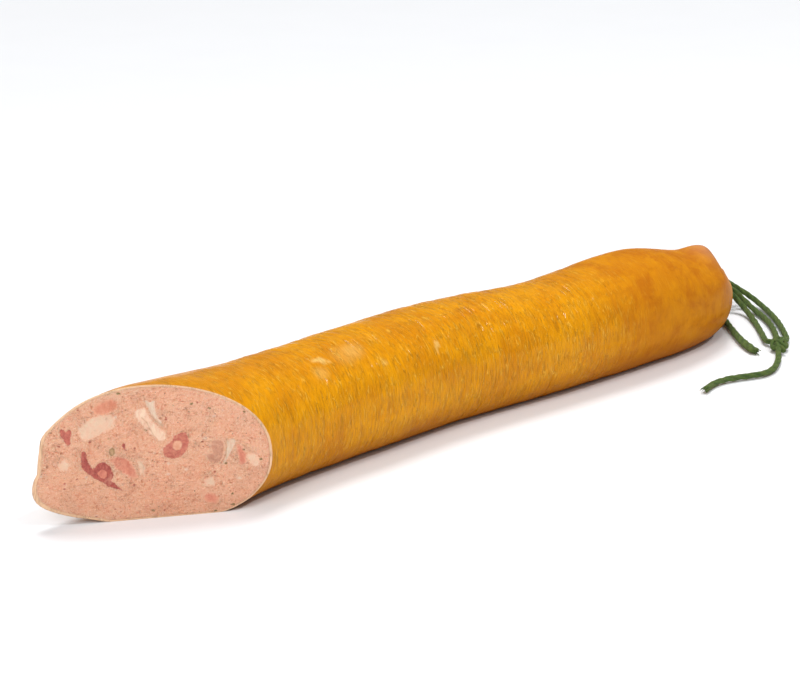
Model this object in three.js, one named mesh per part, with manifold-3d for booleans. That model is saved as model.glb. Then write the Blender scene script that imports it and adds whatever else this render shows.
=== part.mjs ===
// A length of coarse, smoked sausage in a natural casing, cut across at a slant at one end and tied
// off with twine at the other. Millimetres, +Z up. The sausage lies along X, with the cut at -X.
// It rests on z = 0, and the origin is under the middle of its box, the loose twine left out.

import * as THREE from 'three';
import { mergeVertices } from 'three/addons/utils/BufferGeometryUtils.js';
import Module from 'manifold-3d';

const wasm = await Module();
wasm.setup();

// ---------------------------------------------------------------- driving dimensions

const CASING_WALL = 0.8;
const GAP = 0.3;             // between pieces that touch
const SQUARENESS = 2.15;     // exponent of the section's superellipse, 2 for a plain ellipse
const RING_SIDES = 36;
const RINGS_PER_SPAN = 3;

// Shape along the sausage, measured from the middle of the cut: where the centre of the section
// lies, its half width, and its height above and below that centre.
const STATIONS = [
  { at: [-90, -15, 24], half: 26.5, above: 26, below: 26 },
  { at: [-45, -7.5, 24], half: 26.7, above: 25.5, below: 26.5 },
  { at: [0, 0, 24], half: 26.4, above: 25.8, below: 26.5 },
  { at: [50, 7, 22], half: 24.4, above: 23.7, below: 24 },
  { at: [100, 9.5, 22], half: 24.2, above: 24, below: 24 },
  { at: [150, 11, 22], half: 24, above: 23.7, below: 24 },
  { at: [200, 7.5, 21], half: 23.2, above: 22.8, below: 23 },
  { at: [250, 7, 21.5], half: 23.8, above: 23.3, below: 23.5 },
  { at: [283, 8, 19.5], half: 22.6, above: 21.3, below: 21.5 },
  { at: [305, 13, 18.5], half: 19.2, above: 20, below: 20 },
  { at: [320, 20.5, 17.5], half: 12, above: 13, below: 13.5 },
  { at: [328, 27, 17], half: 5, above: 5, below: 5 },
  { at: [331, 30, 16.7], half: 3.8, above: 3.8, below: 3.8 },
  { at: [337, 36, 16.1], half: 3.8, above: 3.8, below: 3.8 },
  { at: [341, 40, 15.4], half: 6.5, above: 4, below: 4 },
  { at: [346, 45, 14], half: 8, above: 3, below: 3 },
];
const LAST_FILLED_STATION = 10.45;  // the filling ends here, inside the closing neck
const ORIGIN_ALONG = 157.3;         // from the middle of the cut to the middle of the box
const ORIGIN_ACROSS = 15.3;

// Places where the skin stands out or falls in: [along, angle round the section, reach along,
// reach round it, height]. The angle is 0 on the +Y side and a quarter turn on top.
const SWELLS = [
  [-50, -0.52, 30, 0.35, 5],       // slumped lower corner of the thin tip
  [-50, -1.25, 26, 0.35, -1.6],
  [-40, 0.95, 16, 0.4, -1],
  [-10, 1.4, 20, 0.6, 0.8],
  [265, 1.4, 26, 1, 1.8],          // high shoulder before the end
  [299, 1.88, 5.5, 0.35, 3.4],     // knob on the end's upper corner
  [298, 0.85, 12, 0.6, -5.85],     // slack side of the end
  [312, 1.9, 9, 0.9, -6],          // where the end falls away past the knob
  [313, 1.91, 23, 1, -0.7],
  [317, -1.3, 8, 0.8, 2.5],        // fuller underside of the end
];

// The slanted cut.
const CUT_HEIGHT = 25;
const CUT_SLANT = THREE.MathUtils.degToRad(30.1);   // between the cut and the sausage's axis
const CUT_LEAN = THREE.MathUtils.degToRad(-3.2);    // the face hangs over a little
const CHUNK_DEPTH = 5;
const RIM_CHUNK_DEPTH = 1.2;  // of the pieces near the rim, where the filling is thin

const TWINE_DIAMETER = 3;
const TWINE_TURNS = 2;
const TWINE_SIDES = 8;
const TWINE_STEP = 6.5;

// ---------------------------------------------------------------- materials

const finish = (color, roughness) =>
  new THREE.MeshStandardMaterial({ color, roughness, metalness: 0 });
const casingFinish = finish(0xd8920f, 0.4);
const pasteFinish = finish(0xe6a283, 0.7);
const fatFinish = finish(0xf3d3b4, 0.5);
const sinewFinish = finish(0xf3dccb, 0.4);
const leanFinish = finish(0xd97d69, 0.6);
const darkMeatFinish = finish(0xa8463f, 0.55);
const gristleFinish = finish(0xc99a86, 0.35);
const seedFinish = finish(0xb08a63, 0.6);
const twineFinish = finish(0x4f8034, 0.9);

// ---------------------------------------------------------------- solids and joins

// A closed three.js geometry as a manifold solid.
function toSolid(geometry) {
  const bare = geometry.clone();
  bare.deleteAttribute('normal');
  bare.deleteAttribute('uv');
  const merged = mergeVertices(bare, 1e-4);
  const corners = merged.getIndex().array;
  const kept = [];
  for (let i = 0; i < corners.length; i += 3) {
    const [a, b, c] = [corners[i], corners[i + 1], corners[i + 2]];
    if (a !== b && b !== c && c !== a) kept.push(a, b, c);
  }
  const vertProperties = new Float32Array(merged.getAttribute('position').array);
  const triVerts = new Uint32Array(kept);
  return new wasm.Manifold(new wasm.Mesh({ numProp: 3, vertProperties, triVerts }));
}

function toGeometry(solid) {
  const mesh = solid.getMesh();
  const geometry = new THREE.BufferGeometry();
  geometry.setAttribute('position', new THREE.BufferAttribute(mesh.vertProperties, 3));
  geometry.setIndex(new THREE.BufferAttribute(mesh.triVerts, 1));
  geometry.computeVertexNormals();
  return geometry;
}

// ---------------------------------------------------------------- the sausage's form

const spine = new THREE.CatmullRomCurve3(
  STATIONS.map(({ at }) => new THREE.Vector3(...at)), false, 'catmullrom', 0.5);
const girth = new THREE.CatmullRomCurve3(
  STATIONS.map(({ half, above, below }) => new THREE.Vector3(half, above, below)),
  false, 'catmullrom', 0.5);
const SPANS = STATIONS.length - 1;

// How far the skin stands out at a place along the sausage and an angle round it.
function swellAt(along, angle) {
  let height = 0;
  for (const [x, centre, reachAlong, reachRound, peak] of SWELLS) {
    const turn = Math.atan2(Math.sin(angle - centre), Math.cos(angle - centre));
    height += peak * Math.exp(-(((along - x) / reachAlong) ** 2) - (turn / reachRound) ** 2);
  }
  return height;
}

// A point of the skin, or of the same surface taken in by an inset, at a station number.
function skinPoint(station, angle, inset) {
  const t = station / SPANS;
  const centre = spine.getPoint(t);
  const heading = spine.getTangent(t).setZ(0).normalize();
  const size = girth.getPoint(t);
  const ahead = girth.getPoint(Math.min(t + 0.005, 1));
  const behind = girth.getPoint(Math.max(t - 0.005, 0));
  const step = spine.getPoint(Math.min(t + 0.005, 1)).distanceTo(spine.getPoint(Math.max(t - 0.005, 0)));
  const steepness = Math.hypot(1, (ahead.x - behind.x) / step);
  const power = 2 / SQUARENESS;
  const across = size.x * Math.sign(Math.cos(angle)) * Math.abs(Math.cos(angle)) ** power;
  const tall = Math.sin(angle) > 0 ? size.y : size.z;
  const rise = tall * Math.sign(Math.sin(angle)) * Math.abs(Math.sin(angle)) ** power;
  const radius = Math.hypot(across, rise);
  const scale = (radius + swellAt(centre.x, angle) - inset * steepness) / radius;
  const side = across * scale;
  return new THREE.Vector3(
    centre.x - heading.y * side,
    centre.y + heading.x * side,
    Math.max(centre.z + rise * scale, inset));
}

// The closed body inside the skin, from the first station to a given station number. Its rings
// stand at the same places whatever the inset, so that one body nests in another.
function sausageBody(inset, last) {
  const profile = [new THREE.Vector2(0, 0)];
  for (let station = 0; station < last; station += 1 / RINGS_PER_SPAN) {
    profile.push(new THREE.Vector2(1, station));
  }
  profile.push(new THREE.Vector2(1, last), new THREE.Vector2(0, last));
  const geometry = new THREE.LatheGeometry(profile, RING_SIDES);
  const position = geometry.getAttribute('position');
  for (let i = 0; i < position.count; i++) {
    const station = position.getY(i);
    const angle = Math.atan2(position.getX(i), position.getZ(i));
    const onAxis = Math.hypot(position.getX(i), position.getZ(i)) < 0.5;
    const place = onAxis ? spine.getPoint(station / SPANS) : skinPoint(station, angle, inset);
    position.setXYZ(i, place.x, place.y, place.z);
  }
  return toSolid(geometry);
}

// ---------------------------------------------------------------- the cut

const cutNormal = new THREE.Vector3(
  -Math.sin(CUT_SLANT) * Math.cos(CUT_LEAN),
  -Math.cos(CUT_SLANT) * Math.cos(CUT_LEAN),
  Math.sin(CUT_LEAN));
const cutRight = new THREE.Vector3(Math.cos(CUT_SLANT), -Math.sin(CUT_SLANT), 0);
const cutUp = new THREE.Vector3().crossVectors(cutNormal, cutRight);
const cutPlace = new THREE.Matrix4()
  .makeBasis(cutRight, cutUp, cutNormal)
  .setPosition(0, 0, CUT_HEIGHT);

const KNIFE = 300;
const knife = toSolid(new THREE.BoxGeometry(KNIFE, KNIFE, KNIFE)
  .translate(0, 0, KNIFE / 2)
  .applyMatrix4(cutPlace));

// ---------------------------------------------------------------- pieces of meat and fat

// Each piece as the cut shows it: its outline in the plane of the cut, from the middle of the
// face, to the right and up.
const CHUNKS = [
  { name: 'fat_chunk', finish: fatFinish, outline: [[-28, 12], [-24.5, 14], [-22.5, 15.6],
    [-18.2, 15.8], [-15.6, 14.5], [-15.8, 11.8], [-18.4, 10], [-20.5, 9], [-24, 7.6],
    [-26.3, 7.2], [-27.8, 9]] },
  { name: 'fat_fold', finish: fatFinish, outline: [[-8, 16.3], [-4.8, 17.4], [-3.9, 15.2],
    [-2.3, 12.4], [0, 9.4], [2, 7.8], [2.7, 5.2], [1, 4.4], [-0.8, 5.5], [-3.8, 9],
    [-6.2, 12], [-7.4, 14]] },
  { name: 'fat_chunk_edge', finish: fatFinish, outline: [[31.9, -3], [34, -3.5], [35.8, -5.3],
    [36, -7.1], [35.2, -8.2], [33.6, -7.2], [32.2, -5.6]] },
  { name: 'fat_spot_tip', finish: fatFinish, depth: RIM_CHUNK_DEPTH, outline: [[-35.1, -0.8],
    [-33.5, 0], [-31.9, -1.4], [-32.1, -3.2], [-33.8, -3.7], [-35, -2.4]] },
  { name: 'fat_spot_low', finish: fatFinish, outline: [[16.6, -12.2], [18, -11],
    [19.9, -12.4], [19.2, -14.2], [17, -13.7]] },
  { name: 'fat_curl', finish: fatFinish, outline: [[-7.5, -2.7], [-5.8, -2.8], [-5.1, -4.8],
    [-5.5, -7.2], [-6.5, -7.5], [-6.9, -5.4]] },
  { name: 'sinew_fan', finish: sinewFinish, outline: [[-4.4, 20.6], [-3, 19.6], [-1.3, 19.8],
    [-1.1, 17.2], [-0.4, 14.4], [1.2, 11.6], [1.9, 9.8], [-0.1, 11.2], [-2.2, 14],
    [-3.3, 16.8], [-4.3, 18.8]] },
  { name: 'sinew_crescent', finish: sinewFinish, outline: [[24.6, 2.8], [27.4, 2.6],
    [26.7, -0.4], [25, -3.4], [23.4, -6.2], [22.2, -6.6], [23.6, -4.9], [24.2, -2.6],
    [24.6, -0.2]] },
  { name: 'gristle', finish: gristleFinish, outline: [[18.6, 3], [21.2, 3.7], [23.4, 2.3],
    [23.6, -1.2], [23, -4.4], [21, -6.2], [18.6, -5.8], [16.8, -3.6], [16.8, -1.7],
    [18.9, -1.4], [18.4, 1]] },
  { name: 'lean_meat_top', finish: leanFinish, depth: RIM_CHUNK_DEPTH, outline: [[-22.5, 18.5],
    [-20, 20.5], [-16.5, 21.5], [-14.5, 20.5], [-15, 18], [-18.5, 16.8], [-21.5, 16.8]] },
  { name: 'lean_meat_wedge', finish: leanFinish, outline: [[-17.4, -1], [-15, -0.6],
    [-12.4, -0.6], [-10, -3.2], [-8.6, -5.8], [-7.9, -8.8], [-9.8, -8.5], [-12.2, -6.7],
    [-15, -4.8], [-16.1, -2.6]] },
  { name: 'lean_meat_edge', finish: leanFinish, outline: [[28.4, 0.2], [29.6, 0], [30.2, -2],
    [31, -3.2], [31, -6], [30.2, -7.2], [28.8, -6.4], [29, -3.9], [28.2, -1.5]] },
  { name: 'lean_meat_low', finish: leanFinish, outline: [[16, -18.2], [18.6, -17.4],
    [20.9, -19], [20.2, -20.9], [17.3, -20.4]] },
  { name: 'dark_meat_heart', finish: darkMeatFinish, depth: RIM_CHUNK_DEPTH,
    outline: [[-34.6, 11.8], [-33.3, 11.8], [-32.4, 10.7], [-31.7, 11.5], [-30.4, 11],
      [-30.9, 9], [-31.1, 6.3], [-31.9, 5.2], [-33.1, 7.3], [-34.3, 9.6]] },
  { name: 'dark_meat_fleck', finish: darkMeatFinish, outline: [[-13, 4.4], [-12.1, 4.7],
    [-11.8, 3], [-11.1, 1.7], [-12.4, 2.3]] },
  { name: 'dark_meat_strip', finish: darkMeatFinish, outline: [[-27, 2.5], [-25.7, 2.6],
    [-25.5, 0.3], [-24.6, -2.4], [-23.6, -4], [-21.5, -2.6], [-19.8, -1.6], [-18.3, -2.8],
    [-16.8, -5], [-16.4, -7.2], [-17, -9], [-15.2, -11], [-12.6, -13.6], [-16.5, -11.9],
    [-19.6, -10], [-22.6, -7.9], [-25, -5.9], [-26.8, -3.9], [-27.6, -1.5]],
    core: { name: 'strip_core', finish: leanFinish, outline: [[-21.9, -5.7], [-20.4, -4.6],
      [-18.9, -5.2], [-18.4, -6.9], [-19.3, -8.2], [-21, -7.4]] } },
  { name: 'meat_ring', finish: darkMeatFinish, outline: [[6.2, 6.2], [9.8, 7], [10.5, 4.4],
    [10.4, 1.2], [9, -0.8], [8, -2.2], [4.6, -2.7], [2.1, -1.5], [1.7, 1.7], [3.6, 3.2],
    [5, 4.9]],
    core: { name: 'ring_core', finish: fatFinish, outline: [[5.6, 4], [7.6, 4.1],
      [8.3, 2.5], [7.4, 0.6], [5.6, 0.7], [5, 2.5]] } },
  { name: 'pepper_seed', finish: seedFinish, outline: [[-17.6, 2.6], [-16.2, 3.4],
    [-15.5, 2], [-15.9, 0.5], [-17, 0.4]] },
];
const POINTS_PER_SIDE = 2;

// A smooth closed outline through a few points, as a prism set into the cut face. A grown prism
// is wider all round and comes out past the face, which makes it the pocket of a plain one.
function prism(outline, depth, grow) {
  const through = outline.map(([right, up]) => new THREE.Vector3(right, up, 0));
  const curve = new THREE.CatmullRomCurve3(through, true, 'centripetal');
  const points = curve.getPoints(outline.length * POINTS_PER_SIDE).slice(0, -1);
  const shape = new THREE.Shape(points.map(({ x, y }) => new THREE.Vector2(x, y)));
  const geometry = new THREE.ExtrudeGeometry(shape, {
    depth: grow ? depth + 1 : depth,
    bevelEnabled: grow > 0,
    bevelSize: grow,
    bevelThickness: grow,
    bevelSegments: 1,
  });
  return toSolid(geometry.translate(0, 0, -depth).applyMatrix4(cutPlace));
}

function meatPieces(chunk) {
  const depth = chunk.depth ?? CHUNK_DEPTH;
  const solid = prism(chunk.outline, depth, 0);
  if (!chunk.core) return [{ ...chunk, solid }];
  const core = prism(chunk.core.outline, depth, 0);
  const pocket = prism(chunk.core.outline, depth, GAP);
  return [{ ...chunk, solid: solid.subtract(pocket) }, { ...chunk.core, solid: core }];
}

// ---------------------------------------------------------------- casing and filling

function casingSolid() {
  const outside = sausageBody(0, SPANS);
  const inside = sausageBody(CASING_WALL, LAST_FILLED_STATION + 0.15);
  return outside.subtract(inside).subtract(knife);
}

function fillingSolid() {
  let filling = sausageBody(CASING_WALL + GAP, LAST_FILLED_STATION).subtract(knife);
  for (const chunk of CHUNKS) {
    filling = filling.subtract(prism(chunk.outline, chunk.depth ?? CHUNK_DEPTH, GAP));
  }
  return filling;
}

// ---------------------------------------------------------------- twine

const neck = new THREE.Vector3(334, 33, 16.4);
const neckAxis = new THREE.Vector3(6, 6, -0.6).normalize();
const NECK_HOLE = 4.3;

// Turns of twine round the neck: one ring whose outside bulges once for each turn.
function windingGeometry() {
  const r = TWINE_DIAMETER / 2;
  const length = TWINE_TURNS * TWINE_DIAMETER;
  const profile = [new THREE.Vector2(NECK_HOLE, length / 2), new THREE.Vector2(NECK_HOLE, -length / 2)];
  for (let turn = 0; turn < TWINE_TURNS; turn++) {
    const middle = -length / 2 + r + turn * TWINE_DIAMETER;
    for (const angle of [-70, -35, 0, 35, 70]) {
      const a = THREE.MathUtils.degToRad(angle);
      profile.push(new THREE.Vector2(NECK_HOLE + r + r * Math.cos(a), middle + r * Math.sin(a)));
    }
  }
  profile.push(profile[0].clone());
  const up = new THREE.Vector3(0, 1, 0);
  const turned = new THREE.Quaternion().setFromUnitVectors(up, neckAxis);
  return new THREE.LatheGeometry(profile, 28)
    .applyQuaternion(turned)
    .translate(neck.x, neck.y, neck.z);
}

// A lump of knotted twine.
function knotGeometry({ at, size, turn }) {
  return new THREE.SphereGeometry(0.5, 16, 10)
    .rotateX(Math.PI / 2)
    .scale(...size)
    .rotateZ(THREE.MathUtils.degToRad(turn))
    .translate(...at);
}

const TIE_KNOT = { at: [338.9, 24.4, 11.8], size: [6, 6.6, 6.6], turn: 45 };
const LOOP_KNOT = { at: [311.6, -30.2, 3.1], size: [15, 9.5, 5.6], turn: 38 };

// Routes of the loose twine, from the tie to the table and along it, through points of its middle.
const STRANDS = {
  loop_strand_outer: [[342.8, 26.4, 13], [346.6, 25.8, 10], [350.5, 23.5, 7], [352.2, 18.5, 4.4],
    [350.6, 11, 2.4], [345.5, 1.5, 1.7], [336.5, -10.5, 1.7], [328.5, -19.5, 1.7],
    [321.5, -26.6, 2]],
  loop_strand_middle: [[341.8, 22.6, 10], [345.2, 20.8, 7.2], [346, 17, 4.4], [343.2, 8, 2],
    [337, -3, 1.7], [329.5, -12.6, 1.7], [323, -19.4, 1.7], [317.4, -24.4, 2]],
  loop_strand_inner: [[338.6, 20.4, 9.4], [339.8, 16, 6.2], [338, 9, 3], [330.6, -2, 1.7],
    [320.6, -13.6, 1.7], [313.4, -21.4, 2]],
  long_tail: [[303.6, -36.4, 2], [298.4, -40.6, 1.7], [292, -44.8, 1.7], [285.4, -48.2, 1.7],
    [278.6, -49.2, 1.7], [272.4, -47.4, 1.7], [266, -44.8, 1.7], [259, -43.2, 1.7],
    [252, -43.6, 1.7], [245.6, -45.8, 1.7]],
  short_tail: [[336.6, 22.6, 7.8], [334.4, 20.4, 4.8], [330.4, 16.4, 2.4], [325, 10.6, 1.7],
    [317.4, 1, 1.7], [309.6, -9.4, 1.7], [303, -19.4, 1.7], [298.8, -28, 1.7]],
};

function strandGeometry(points) {
  const route = new THREE.CatmullRomCurve3(points.map((p) => new THREE.Vector3(...p)));
  const section = new THREE.Shape();
  for (let side = 0; side < TWINE_SIDES; side++) {
    const angle = (2 * Math.PI * side) / TWINE_SIDES;
    const corner = [Math.cos(angle), Math.sin(angle)].map((c) => (c * TWINE_DIAMETER) / 2);
    if (side === 0) section.moveTo(...corner);
    else section.lineTo(...corner);
  }
  const steps = Math.ceil(route.getLength() / TWINE_STEP);
  return new THREE.ExtrudeGeometry(section, { steps, extrudePath: route });
}

// ---------------------------------------------------------------- assembly

const sausage = new THREE.Group();
sausage.position.set(-ORIGIN_ALONG, -ORIGIN_ACROSS, 0);

function addPiece(name, geometry, material) {
  const mesh = new THREE.Mesh(geometry, material);
  mesh.name = name;
  sausage.add(mesh);
}

addPiece('casing', toGeometry(casingSolid()), casingFinish);
addPiece('filling', toGeometry(fillingSolid()), pasteFinish);
for (const piece of CHUNKS.flatMap(meatPieces)) {
  addPiece(piece.name, toGeometry(piece.solid), piece.finish);
}
addPiece('twine_winding', toGeometry(toSolid(windingGeometry())), twineFinish);
addPiece('tie_knot', toGeometry(toSolid(knotGeometry(TIE_KNOT))), twineFinish);
addPiece('loop_knot', toGeometry(toSolid(knotGeometry(LOOP_KNOT))), twineFinish);
for (const [name, points] of Object.entries(STRANDS)) {
  addPiece(name, strandGeometry(points), twineFinish);
}

export default sausage;
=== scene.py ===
"""A cut length of coarse smoked sausage in its wrinkled natural casing, tied off with green twine.

Laid out as an add-on: the sizes and colours are properties, each piece or group of like pieces is
an operator, and a panel in the sidebar lists them. Run as a script, it builds the whole scene.
"""

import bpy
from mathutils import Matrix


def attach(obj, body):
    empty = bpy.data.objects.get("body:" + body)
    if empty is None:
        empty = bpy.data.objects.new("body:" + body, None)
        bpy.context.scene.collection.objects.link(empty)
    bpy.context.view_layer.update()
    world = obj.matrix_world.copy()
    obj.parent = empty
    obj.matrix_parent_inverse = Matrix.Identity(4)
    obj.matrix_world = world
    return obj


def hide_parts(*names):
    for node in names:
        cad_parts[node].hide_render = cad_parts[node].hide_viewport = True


bl_info = {
    "name": "Smoked Sausage",
    "version": (1, 0, 0),
    "blender": (4, 5, 0),
    "location": "View3D > Sidebar > Sausage",
    "description": "Builds a cut length of smoked sausage with its twine and a plain studio",
    "category": "Add Mesh",
}

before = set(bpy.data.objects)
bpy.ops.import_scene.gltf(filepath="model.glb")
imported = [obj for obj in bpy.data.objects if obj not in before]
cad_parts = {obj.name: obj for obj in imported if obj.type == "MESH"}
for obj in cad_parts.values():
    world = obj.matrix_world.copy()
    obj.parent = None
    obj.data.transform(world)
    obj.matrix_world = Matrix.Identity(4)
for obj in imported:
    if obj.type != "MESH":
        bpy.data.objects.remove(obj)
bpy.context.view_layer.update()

import math
import random

import bmesh
import bpy
import numpy as np
from bpy.props import FloatProperty, FloatVectorProperty, IntProperty, PointerProperty
from mathutils import Vector, noise

MM = 0.001
BODY = "root"

# ---------------------------------------------------------------- the form, in millimetres

# From the middle of the cut: centre of the section, half width, height above and below the centre.
STATIONS = np.array([
    (-90, -15, 24, 26.5, 26, 26),
    (-45, -7.5, 24, 26.7, 25.5, 26.5),
    (0, 0, 24, 26.4, 25.8, 26.5),
    (50, 7, 22, 24.4, 23.7, 24),
    (100, 9.5, 22, 24.2, 24, 24),
    (150, 11, 22, 24, 23.7, 24),
    (200, 7.5, 21, 23.2, 22.8, 23),
    (250, 7, 21.5, 23.8, 23.3, 23.5),
    (283, 8, 19.5, 22.6, 21.3, 21.5),
    (305, 13, 18.5, 19.2, 20, 20),
    (320, 20.5, 17.5, 12, 13, 13.5),
    (328, 27, 17, 5, 5, 5),
    (331, 30, 16.7, 3.8, 3.8, 3.8),
    (337, 36, 16.1, 3.8, 3.8, 3.8),
    (341, 40, 15.4, 6.5, 4, 4),
    (346, 45, 14, 8, 3, 3),
], float)
SPANS = len(STATIONS) - 1
MIDDLE_STATION = 2          # the station at the middle of the cut
CUT_STATIONS = (0.4, 3.6)   # the cut crosses the skin between these
LAST_FILLED_STATION = 10.45
HEADING_STEP = 0.075        # how far either side of a station its heading is taken
SQUARENESS = 2.15           # 2 is a plain oval

# The knob on the end's upper corner.
KNOB_ANGLE = 1.88
KNOB_STATION = 8.95

# Where the skin stands out or falls in: along, angle round, reach along, reach round, height.
SWELLS = (
    (-50, -0.52, 30, 0.35, 5),
    (-50, -1.25, 26, 0.35, -1.6),
    (-40, 0.95, 16, 0.4, -1),
    (-10, 1.4, 20, 0.6, 0.8),
    (265, 1.4, 26, 1, 1.8),
    (299, KNOB_ANGLE, 5.5, 0.35, 3.4),
    (298, 0.85, 12, 0.6, -5.85),
    (312, 1.9, 9, 0.9, -6),
    (313, 1.91, 23, 1, -0.7),
    (317, -1.3, 8, 0.8, 2.5),
)

# How far the skin at the cut stands out from the plain form, by angle round.
EDGE_FORM = np.array([
    (-3.14, 0.2), (-2.52, 0.7), (-2.39, 0.9), (-2.2, 0.85), (-2.1, 0.6), (-2.0, 0.1),
    (-1.2, 0.1), (-0.98, 0.3), (-0.81, 0.9), (-0.6, 1.05), (-0.45, 1.25), (-0.31, 1.2),
    (-0.23, 0.95), (-0.16, 0.6), (-0.12, 0.1), (0.15, 0.1), (0.23, 0.3), (0.34, 0.7),
    (0.43, 0.7), (0.52, 0.4), (0.66, 0.35), (0.9, 0.5), (1.08, 0.45), (1.27, 0.2),
    (1.42, 0.3), (3.14, 0.2),
])
EDGE_REACH = 9              # how far behind the cut that lasts
# How thick the skin is at the cut, by angle round, as a share of the usual thickness.
EDGE_WALL = np.array([
    (-3.14, 0.9), (-2.4, 0.6), (-1.57, 0.8), (-0.9, 1.3), (-0.5, 1.7), (-0.2, 1.3),
    (0.5, 1.2), (1.57, 1.2), (2.4, 0.9), (3.14, 0.9),
])

CUT_SLANT = math.radians(30.1)
CUT_LEAN = math.radians(-3.2)
CUT_NORMAL = np.array([
    -math.sin(CUT_SLANT) * math.cos(CUT_LEAN),
    -math.cos(CUT_SLANT) * math.cos(CUT_LEAN),
    math.sin(CUT_LEAN),
])
CUT_RIGHT = np.array([math.cos(CUT_SLANT), -math.sin(CUT_SLANT), 0])
CUT_UP = np.cross(CUT_NORMAL, CUT_RIGHT)
CUT_MIDDLE = np.array([0.0, 0.0, 25.0])

# The frame's origin in these coordinates: the middle of the box of everything but loose twine.
ORIGIN = np.array([157.3, 15.3, 0])

# The loose twine's routes, each from the tie or the loop's knot outwards.
TWINE_STRANDS = {
    "loop_strand_outer": [(342.8, 26.4, 13), (346.6, 25.8, 10), (350.5, 23.5, 7),
                          (352.2, 18.5, 4.4), (350.6, 11, 2.4), (345.5, 1.5, 1.7),
                          (336.5, -10.5, 1.7), (328.5, -19.5, 1.7), (321.5, -26.6, 2)],
    "loop_strand_middle": [(341.8, 22.6, 10), (345.2, 20.8, 7.2), (346, 17, 4.4),
                           (343.2, 8, 2), (337, -3, 1.7), (329.5, -12.6, 1.7),
                           (323, -19.4, 1.7), (317.4, -24.4, 2)],
    "loop_strand_inner": [(338.6, 20.4, 9.4), (339.8, 16, 6.2), (338, 9, 3),
                          (330.6, -2, 1.7), (320.6, -13.6, 1.7), (313.4, -21.4, 2)],
    "long_tail": [(303.6, -36.4, 2), (298.4, -40.6, 1.7), (292, -44.8, 1.7),
                  (285.4, -48.2, 1.7), (278.6, -49.2, 1.7), (272.4, -47.4, 1.7),
                  (266, -44.8, 1.7), (259, -43.2, 1.7), (252, -43.6, 1.7),
                  (245.6, -45.8, 1.7)],
    "short_tail": [(336.6, 22.6, 7.8), (334.4, 20.4, 4.8), (330.4, 16.4, 2.4),
                   (325, 10.6, 1.7), (317.4, 1, 1.7), (309.6, -9.4, 1.7),
                   (303, -19.4, 1.7), (298.8, -28, 1.7)],
}
FAR_ENDS = {
    "loop_strand_outer": "knot",
    "loop_strand_middle": "knot",
    "loop_strand_inner": "knot",
    "long_tail": "bare",
    "short_tail": "bare",
}
FRAYED_STRAND = "short_tail"
NECK = np.array([334, 33, 16.4])
NECK_AXIS = Vector((6, 6, -0.6)).normalized()
NECK_HOLE = 4.3             # radius of the hole that the winding leaves for the neck
TIE_KNOT_AT = np.array([338.9, 24.4, 11.8])
TIE_KNOT_TURN = math.radians(45)
LOOP_KNOT_AT = np.array([311.6, -30.2, 3.1])
LOOP_KNOT_TURN = math.radians(38)
# The loop knot's own short end.
LOOP_KNOT_END = [(309.5, -30.5, 3.4), (307.6, -33.6, 3), (306.6, -37.4, 2)]
ABOVE_FLOOR = 0.02          # the least height of anything on the twine


def along_curve(points, station):
    """Points of the smooth curve through evenly numbered points, at an array of station numbers."""
    last = len(points) - 1
    span = np.clip(np.floor(station).astype(int), 0, last - 1)
    w = (np.clip(station, 0, last) - span)[:, None]
    p1 = points[span]
    p2 = points[span + 1]
    before = np.where((span > 0)[:, None], points[np.maximum(span - 1, 0)],
                      2 * points[0] - points[1])
    after = np.where((span + 2 <= last)[:, None], points[np.minimum(span + 2, last)],
                     2 * points[last] - points[last - 1])
    start_slope = (p2 - before) / 2
    end_slope = (after - p1) / 2
    cubic = 2 * p1 - 2 * p2 + start_slope + end_slope
    square = -3 * p1 + 3 * p2 - 2 * start_slope - end_slope
    return cubic * w**3 + square * w**2 + start_slope * w + p1


def run_along(path):
    """How far along a path each of its points is."""
    steps = np.linalg.norm(np.diff(path, axis=0), axis=1)
    return np.concatenate([[0], np.cumsum(steps)])


def turn_from(centre, angle):
    """The way round from centre to each angle, at most half a turn either way."""
    return np.arctan2(np.sin(angle - centre), np.cos(angle - centre))


def by_angle(table, angle):
    """What a table by angle round the section says for each angle."""
    return np.interp(turn_from(0, angle), table[:, 0], table[:, 1])


def swell_at(along, angle):
    """How far the swells and hollows move the skin outwards."""
    height = np.zeros_like(along)
    for x, centre, reach_along, reach_round, peak in SWELLS:
        turn = turn_from(centre, angle)
        height += peak * np.exp(-(((along - x) / reach_along) ** 2) - (turn / reach_round) ** 2)
    return height


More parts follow.
